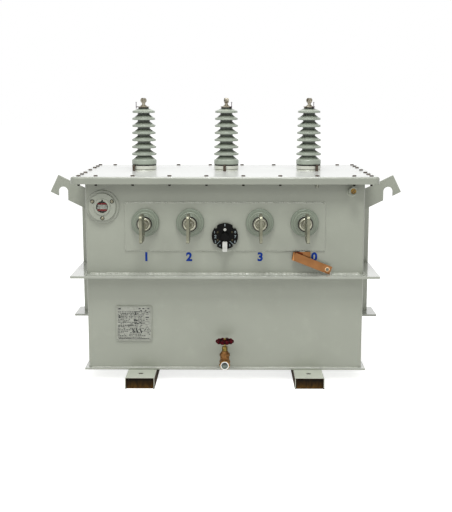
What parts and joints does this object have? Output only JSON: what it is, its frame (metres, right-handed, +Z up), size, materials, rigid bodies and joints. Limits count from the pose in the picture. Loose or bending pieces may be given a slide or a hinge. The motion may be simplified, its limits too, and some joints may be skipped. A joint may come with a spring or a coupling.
{
  "type": "power transformer",
  "caption": "Oil-filled three-phase distribution transformer with a smooth tank, porcelain bushings, blade terminals, tap changer, oil gauge, drain valve and skids.",
  "frame": {"origin": "on the ground under the middle of the outline", "axes": "+X to the right seen from the front, +Y to the back, +Z up"},
  "size_m": [1.2678, 0.793, 0.9668],
  "materials": {
    "paint": "gloss",
    "porcelain": "gloss",
    "rubber": "matte",
    "tinned": "satin",
    "rusty_steel": "satin",
    "dial_black": "matte",
    "handle_white": "gloss",
    "float_white": "matte",
    "glass": "gloss",
    "brass": "satin",
    "bronze": "cast",
    "wheel_red": "painted",
    "bare_steel": "satin",
    "copper": "satin"
  },
  "bodies": {
    "transformer": {"tank_wall": "paint", "tank_floor": "paint", "tank_rim": "paint", "lid": "paint", "belt_front": "paint", "belt_back": "paint", "belt_left": "paint", "belt_right": "paint", "rib_left": "paint", "rib_right": "paint", "pad_left": "paint", "pad_right": "paint", "lug_left": "paint", "lug_right": "paint", "skid_left": "paint", "skid_right": "paint", "hv_turrets": "paint", "hv_gaskets": "rubber", "hv_bushing_left": "porcelain", "hv_bushing_middle": "porcelain", "hv_bushing_right": "porcelain", "hv_terminal_left": "tinned", "hv_terminal_middle": "tinned", "hv_terminal_right": "tinned", "hv_clamp_studs": "rusty_steel", "arcing_rods": "tinned", "bushing_plate": "paint", "lv_bushing_1": "porcelain", "lv_bushing_2": "porcelain", "lv_bushing_3": "porcelain", "lv_bushing_4": "porcelain", "lv_gaskets": "rubber", "lv_nuts": "tinned", "lv_blade_1": "tinned", "lv_blade_2": "tinned", "lv_blade_3": "tinned", "lv_blade_4": "tinned", "tap_dial": "dial_black", "gauge_boss": "paint", "gauge_bezel": "paint", "gauge_dial": "float_white", "gauge_glass": "glass", "filler_neck": "paint", "filler_plug": "brass", "rating_backing": "paint", "rating_plate": "bare_steel", "drain_pipe": "paint", "valve_body": "bronze", "valve_bonnet": "brass", "drain_plug": "bare_steel", "earth_boss": "bare_steel", "earth_strap": "copper"},
    "tap_handle": {"tap_hub": "dial_black", "tap_handle": "handle_white"},
    "handwheel": {"handwheel": "wheel_red"}
  },
  "joints": [
    {"name": "tap_turn", "type": "hinge", "parent": "transformer", "child": "tap_handle", "pos_m": [0, -0.2165, 0.507], "axis": [0, -1, 0], "range_deg": [-60, 60]},
    {"name": "wheel_turn", "type": "hinge", "parent": "transformer", "child": "handwheel", "pos_m": [0, -0.2775, 0.155], "axis": [0, 0, 1], "range_deg": [0, 1440]}
  ]
}
